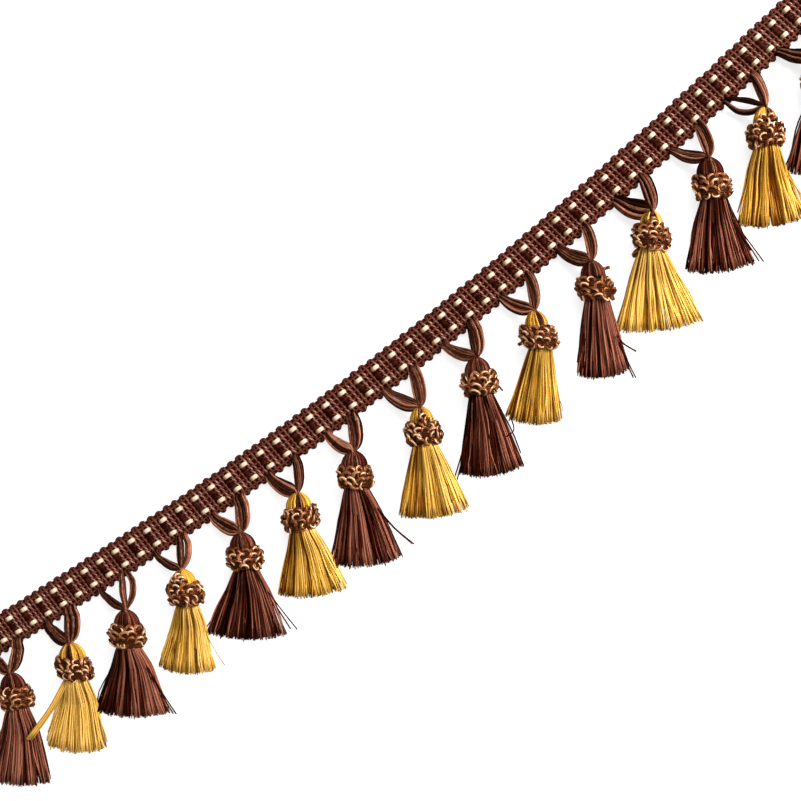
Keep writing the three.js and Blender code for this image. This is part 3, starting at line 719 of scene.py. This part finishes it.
def stray_yarns(k):
    """The yarns that stray from tassel k's skirt: a lock over the next tassel, or loose ends at its edges."""
    groups = []
    for count, fan, radius, lightest, stops in STRAYS.get(k, []):
        share, aside, z = (np.array(v) for v in zip(*stops))
        along, across = on_skirt(k, share, aside, tassels[k]["length"])
        step = STRAY["pitch"] * YARN["radius"] * np.linspace(STRAY["root"], fan, len(share))
        lines = []
        for i in range(count):
            apart = (i - (count - 1) / 2) * step
            height = np.maximum(z, STRAY["lowest"]) + STRAY["over"] * (i % 2)
            line = np.stack([along + apart * STRAY["lag"], across + apart, height], -1)
            lines.append(smooth_line(line, YARN["rings"]))
        places = in_tassel(k, *np.moveaxis(np.array(lines), -1, 0))
        tint = rng.uniform(STRAY["darkest"], lightest, count)
        groups.append((*strand_rings(places, radius, radius, YARN["sides"]), tint))
    return groups


def dome_lines(k):
    """The yarns of tassel k's dome, round it from its neck to under the ruff."""
    part = tassels[k]["part"]
    degrees = np.linspace(part + DOME["half_gap"], part + 360 - DOME["half_gap"], DOME["yarns"])
    angle = np.radians(degrees + rng.normal(0, DOME["askew"], DOME["yarns"]))[:, None]
    stops = smooth_line([(along, head_radius(k, along)) for along, _ in HEAD_STOPS], YARN["rings"])
    radius = stops[:, 1][None] * (1 + rng.normal(0, DOME["uneven"], (DOME["yarns"], 1)))
    z = RUFF_Z + FLATNESS * radius * np.sin(angle)
    return in_tassel(k, stops[:, 0][None] + 0 * angle, radius * np.cos(angle), z)


yarn_shares = np.linspace(0, 1, YARN["rings"])
dome_taper = by_share(DOME_TAPER, yarn_shares)
for k, tassel in enumerate(tassels):
    skirt, skirt_tint = skirt_lines(k)
    dome = dome_lines(k)
    thickness = YARN["radius"] * rng.uniform(1 - YARN["uneven"], 1 + YARN["uneven"], (YARNS, 1))
    thickness = thickness * by_share(YARN_TAPER, yarn_shares)
    dome_rings = strand_rings(
        dome, DOME["half_width"] * dome_taper, DOME["half_height"] * dome_taper, YARN["sides"])
    piece = joined_strands(
        f"tassel_yarns_{k + 1:02d}",
        (*strand_rings(skirt, thickness, thickness, YARN["sides"]), skirt_tint),
        (*dome_rings, rng.uniform(*DOME_TINT, len(dome))),
        *stray_yarns(k))
    piece.data.materials.append(tassel_yarn[tassel["yarn"]])
    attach(piece, "root")
    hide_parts(f"tassel_{k + 1:02d}")

# The ruffs
# A collar knotted round each tassel's head from one cord of brown and gold plies, in staggered rows of arched
# stitches over a dark winding, finer on the gold tassels. The winding and the core under it are darkened with
# painted shade, for the gaps between the stitches. On some the knots climb the head, and on some the cord's
# end stands out.
RUFF = {"middle": 1.2, "half_length": 4.5, "radius": 7.1, "rounding": 1.1, "rows": 4, "turn": 0.3,
        "uneven": 0.1}
RUFF_SLANTS = [8, 13, 5, 7, 5, -5, 5, 4, 0, 12, 9, 7, 5, 0, 5]
RUFF_DOWN = {3: -0.6, 10: 0.7, 12: 1.0, 13: 0.7}
STITCHES = {
    "gold": {"columns": 12, "half_width": 1.55, "height": 2.6, "tilt": 0.85, "rings": 11},
    "brown": {"columns": 10, "half_width": 1.85, "height": 2.8, "tilt": 0.5, "rings": 13},
}
ARCH = {"end": 125, "bulge": 0.75, "sink": 1.4}
STITCH_RANGE = {"half_width": (0.8, 1.15), "height": (0.8, 1.1), "bulge": (0.3, 1.4)}
UPTURNED_SHARE = 0.5
PLIES = {"count": 3, "radius": 0.4, "offset": 0.4, "turn": 2.0 * np.pi, "start_spread": 1.3, "sides": 5}
PLY_TAPER = [(0, 0.6), (0.125, 1), (0.875, 1), (1, 0.6)]
PLY_TINTS = {"gold": (0.5, 1.0), "brown": (0.1, 0.66)}
LOOSE_STITCHES = {
    3: [(-5.3, 78), (-5.2, 106), (-5.0, 138), (-6.7, 88), (-6.6, 120), (-8.0, 100)],
    7: [(-5.4, 92), (-5.2, 66), (-6.8, 80), (-5.0, 40)],
    11: [(-5.3, 82), (-5.0, 55), (-5.4, 110), (-6.7, 88)],
    13: [(-5.5, 60), (-5.6, 92), (-5.4, 124), (-7.0, 76), (-6.9, 106)],
}
# The winding's and the core's low tints are painted shade in the gaps between the stitches.
WINDING = {"turns": 9, "half_length": 4.2, "radius": 0.6, "depth": 0.5, "rings_per_turn": 18, "sides": 6,
           "tint": 0.05}
CORE = {"rings": 10, "sides": 24, "tint": -0.4}
CORE_STOPS = [(-4.4, 4.4), (-4.0, 5.4), (0.0, 6.1), (4.0, 5.4), (4.4, 4.4)]
CORD_END = {"rings": 12, "turn": 3 * np.pi, "spread": 0.4, "tints": [0.3, 0.15, 0.55]}
CORD_ENDS = {
    1: [(3.2, -6.6, 5.5), (3.4, -8.0, 5.0), (3.9, -8.6, 4.2)],
    2: [(-1.4, -6.4, 7.0), (-0.6, -7.8, 6.0), (0.2, -9.4, 5.0)],
    5: [(1.0, -6.4, 5.5), (1.6, -8.0, 5.0), (2.6, -8.9, 4.2)],
    8: [(2.4, 6.4, 6.0), (3.6, 7.8, 5.0), (5.6, 9.2, 3.6)],
    9: [(2.4, -6.4, 5.0), (2.6, -8.0, 4.6), (2.9, -8.9, 4.4)],
    10: [(-5.6, 3.6, 7.6), (-5.7, 5.4, 7.2), (-5.9, 7.2, 6.8)],
    11: [(5.0, -4.6, 6.5), (6.4, -6.0, 6.6), (8.2, -7.6, 6.0), (8.8, -6.8, 5.6), (7.4, -5.6, 5.8)],
}
RUFF_COLOURS = {
    "shade": (0.006, 0.0007, 0.0001), "body": (0.108, 0.029, 0.0080), "gloss": (0.36, 0.145, 0.06)}
RUFF_GOLD = (0.64, 0.38, 0.22)
GOLD_TINTS = {"From Min": 0.6, "From Max": 0.95}
RUFF_SHINE = (1.0, 0.72, 0.5)


def ruff_material():
    """The ruff's cord: brown plies and a gold one."""
    material = yarn_material(
        "brown_and_gold_cord", **RUFF_COLOURS, lay=LONG_LAY, ply=0.0, fibre=0.5, spread=1.0, roughness=0.3,
        bump=0.4, lustre=0.4)
    nodes, links = material.node_tree.nodes, material.node_tree.links
    nodes["Principled BSDF"].inputs["Specular Tint"].default_value = (*RUFF_SHINE, 1)
    look = next(node for node in nodes if node.type == "GROUP")
    tint = nodes.new("ShaderNodeAttribute")
    tint.attribute_name = "tint"
    golden = nodes.new("ShaderNodeMapRange")
    set_inputs(golden, GOLD_TINTS)
    links.new(tint.outputs["Fac"], golden.inputs["Value"])
    plies = nodes.new("ShaderNodeMix")
    plies.data_type = "RGBA"
    links.new(golden.outputs["Result"], plies.inputs["Factor"])
    links.new(look.outputs["Color"], plies.inputs["A"])
    plies.inputs["B"].default_value = (*RUFF_GOLD, 1)
    links.new(plies.outputs["Result"], nodes["Principled BSDF"].inputs["Base Color"])
    return material


def on_ruff(k, along, out, around, lowest):
    """Points of tassel k's ruff, a barrel with rounded ends: along it from its middle, out from its surface,
    and round it (0 is its right and pi / 2 its top), none of them lower than this."""
    rounding = RUFF["rounding"] * np.clip(np.abs(along / RUFF["half_length"]), 0, 1.1) ** 3
    radius = RUFF["radius"] - rounding + out
    across = radius * np.cos(around)
    z = np.maximum(RUFF_Z + FLATNESS * radius * np.sin(around), lowest)
    slant = math.tan(math.radians(RUFF_SLANTS[k]))
    middle = RUFF["middle"] + RUFF_DOWN.get(k, 0.0)
    return in_tassel(k, middle + along + slant * across, across, z)


def ruff_stitches(k):
    """The plies of the arched stitches of tassel k's ruff: row by row, each stitch between two of the row
    before, some of the last row upside down, and how golden each ply is."""
    stitch = STITCHES[tassels[k]["yarn"]]
    arch = np.radians(np.linspace(-ARCH["end"], ARCH["end"], stitch["rings"]))
    row_step = 2 * RUFF["half_length"] / RUFF["rows"]
    places = []
    for row in range(RUFF["rows"]):
        row_along = (row + 0.5) * row_step - RUFF["half_length"]
        for column in range(stitch["columns"]):
            round_it = 2 * np.pi * (column + 0.5 * (row % 2)) / stitch["columns"]
            places.append((row_along, round_it + rng.normal(0, RUFF["uneven"]) + RUFF["turn"] * k))
    places += [(along, math.radians(degrees)) for along, degrees in LOOSE_STITCHES.get(k, [])]
    lines, tints = [], []
    for row_along, middle in places:
        wide = stitch["half_width"] * rng.uniform(*STITCH_RANGE["half_width"])
        tall = stitch["height"] / 2 * rng.uniform(*STITCH_RANGE["height"])
        upturned = row_along > row_step / 2 and rng.uniform() < UPTURNED_SHARE
        tilt = rng.normal(math.pi if upturned else 0.0, stitch["tilt"])
        start = rng.normal(np.pi / 2, PLIES["start_spread"])
        bulge = ARCH["bulge"] * rng.uniform(*STITCH_RANGE["bulge"])
        gold = rng.uniform(*PLY_TINTS["gold"])
        for ply in range(PLIES["count"]):
            turn = start + 2 * np.pi * ply / PLIES["count"] + PLIES["turn"] * arch / arch[-1] / 2
            reach = 1 + PLIES["offset"] * np.cos(turn) / wide
            sideways = wide * reach * np.sin(arch)
            upwards = -tall * reach * np.cos(arch)
            along = row_along + upwards * np.cos(tilt) + sideways * np.sin(tilt)
            around = middle + (sideways * np.cos(tilt) - upwards * np.sin(tilt)) / RUFF["radius"]
            rise = np.where(np.abs(arch) < np.pi / 2, bulge, ARCH["sink"]) * np.cos(arch)
            lines.append(on_ruff(k, along, rise + PLIES["offset"] * np.sin(turn), around, PLIES["radius"]))
            tints.append(gold if ply == 0 else rng.uniform(*PLY_TINTS["brown"]))
    return np.array(lines), tints


def winding(k):
    """The cord wound round the head under the stitches."""
    turn = np.linspace(0, WINDING["turns"], WINDING["turns"] * WINDING["rings_per_turn"])[None]
    along = (2 * turn / WINDING["turns"] - 1) * WINDING["half_length"]
    return on_ruff(k, along, -WINDING["depth"], 2 * np.pi * turn + k, WINDING["radius"])


def cord_end(k):
    """The plies of the end of the cord that stands out from tassel k's ruff."""
    line = smooth_line(CORD_ENDS[k], CORD_END["rings"])
    turn = np.linspace(0, CORD_END["turn"], CORD_END["rings"])
    plies = []
    for ply in range(PLIES["count"]):
        angle = turn + 2 * np.pi * ply / PLIES["count"]
        aside, up = PLIES["offset"] * np.cos(angle), PLIES["offset"] * np.sin(angle)
        across = line[:, 1] + CORD_END["spread"] * aside
        plies.append(in_tassel(k, line[:, 0] + aside, across, line[:, 2] + up))
    return np.array(plies)


ruff_yarn = ruff_material()
core_line = smooth_line(CORE_STOPS, CORE["rings"])
core_radius = core_line[:, 1]
for k in range(len(tassels)):
    lines, tints = ruff_stitches(k)
    ply_radius = PLIES["radius"] * by_share(PLY_TAPER, np.linspace(0, 1, lines.shape[1]))
    core = in_tassel(k, RUFF["middle"] + core_line[:, 0], 0.0, RUFF_Z)[None]
    groups = [
        (*strand_rings(lines, ply_radius, ply_radius, PLIES["sides"]), tints),
        (*strand_rings(winding(k), WINDING["radius"], WINDING["radius"], WINDING["sides"]), WINDING["tint"]),
        (*strand_rings(core, core_radius, core_radius * FLATNESS, CORE["sides"]), CORE["tint"])]
    if k in CORD_ENDS:
        end_rings = strand_rings(cord_end(k), PLIES["radius"], PLIES["radius"], PLIES["sides"])
        groups.append((*end_rings, CORD_END["tints"]))
    piece = joined_strands(f"knotted_ruff_{k + 1:02d}", *groups)
    piece.data.materials.append(ruff_yarn)
    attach(piece, "root")
    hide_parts(f"ruff_{k + 1:02d}")

# The floor, the light and the camera
# A plain pale floor that glows a little, like a light table, under soft studio light from the picture's upper
# right, and the photograph's view from nearly overhead, with the trim's right end a little nearer.
FLOOR = {"half": 2.5, "white": 0.4, "glow": 0.7, "roughness": 0.9, "glaze": 0.1}
PICTURE_TURN = math.radians(-38.06)
VIEW_DISTANCE, VIEW_TILT, VIEW_TILT_TOWARDS = 640.0, math.radians(6.0), math.radians(38.5)
VIEW_AIM = (0.0, -14.0)
FOCAL_PIXELS, PICTURE_PIXELS, SENSOR = 1500.0, 801.0, 36.0
WORLD_LIGHT = 0.5

floor_mesh = bpy.data.meshes.new("floor")
floor_corners = [(FLOOR["half"] * x, FLOOR["half"] * y, 0) for x, y in [(-1, -1), (1, -1), (1, 1), (-1, 1)]]
floor_mesh.from_pydata(floor_corners, [], [(0, 1, 2, 3)])
floor = bpy.data.objects.new("floor", floor_mesh)
bpy.context.collection.objects.link(floor)
floor_material = bpy.data.materials.new("pale_floor")
floor_material.use_nodes = True
set_inputs(floor_material.node_tree.nodes["Principled BSDF"], {
    "Base Color": (*[FLOOR["white"]] * 3, 1), "Roughness": FLOOR["roughness"],
    "Specular IOR Level": FLOOR["glaze"], "Emission Color": (1, 1, 1, 1), "Emission Strength": FLOOR["glow"]})
floor_mesh.materials.append(floor_material)

tilt_axis = Vector((-math.sin(VIEW_TILT_TOWARDS), math.cos(VIEW_TILT_TOWARDS), 0))
view_turn = Matrix.Rotation(PICTURE_TURN, 3, "Z") @ Matrix.Rotation(VIEW_TILT, 3, tilt_axis)
aim = Vector((*(np.array(VIEW_AIM) + shift), 0)) * MM
camera_data = bpy.data.cameras.new("camera")
camera_data.sensor_width = SENSOR
camera_data.lens = FOCAL_PIXELS / PICTURE_PIXELS * SENSOR
camera = bpy.data.objects.new("camera", camera_data)
camera_place = aim + view_turn @ Vector((0, 0, VIEW_DISTANCE * MM))
camera.matrix_world = Matrix.Translation(camera_place) @ view_turn.to_4x4()
bpy.context.collection.objects.link(camera)
bpy.context.scene.camera = camera


def area_light(name, picture_angle, elevation, distance, size, power):
    """A soft square lamp aimed at the trim, from this angle in the picture (0 is right, 90 is up)."""
    turn = math.radians(picture_angle) + PICTURE_TURN
    rise = math.radians(elevation)
    away = Vector((math.cos(turn) * math.cos(rise), math.sin(turn) * math.cos(rise), math.sin(rise)))
    lamp = bpy.data.lights.new(name, "AREA")
    lamp.energy = power
    lamp.size = size
    placed = bpy.data.objects.new(name, lamp)
    placed.location = away * distance
    placed.rotation_euler = away.to_track_quat("Z", "Y").to_euler()
    bpy.context.collection.objects.link(placed)


area_light("key", picture_angle=28, elevation=34, distance=1.3, size=0.45, power=36)
area_light("upper_fill", picture_angle=90, elevation=42, distance=1.6, size=1.0, power=17)
area_light("left_fill", picture_angle=215, elevation=45, distance=1.6, size=1.0, power=3)
world = bpy.data.worlds.new("studio")
world.use_nodes = True
set_inputs(world.node_tree.nodes["Background"], {"Color": (1, 1, 1, 1), "Strength": WORLD_LIGHT})
bpy.context.scene.world = world
bpy.context.scene.view_settings.view_transform = "Standard"
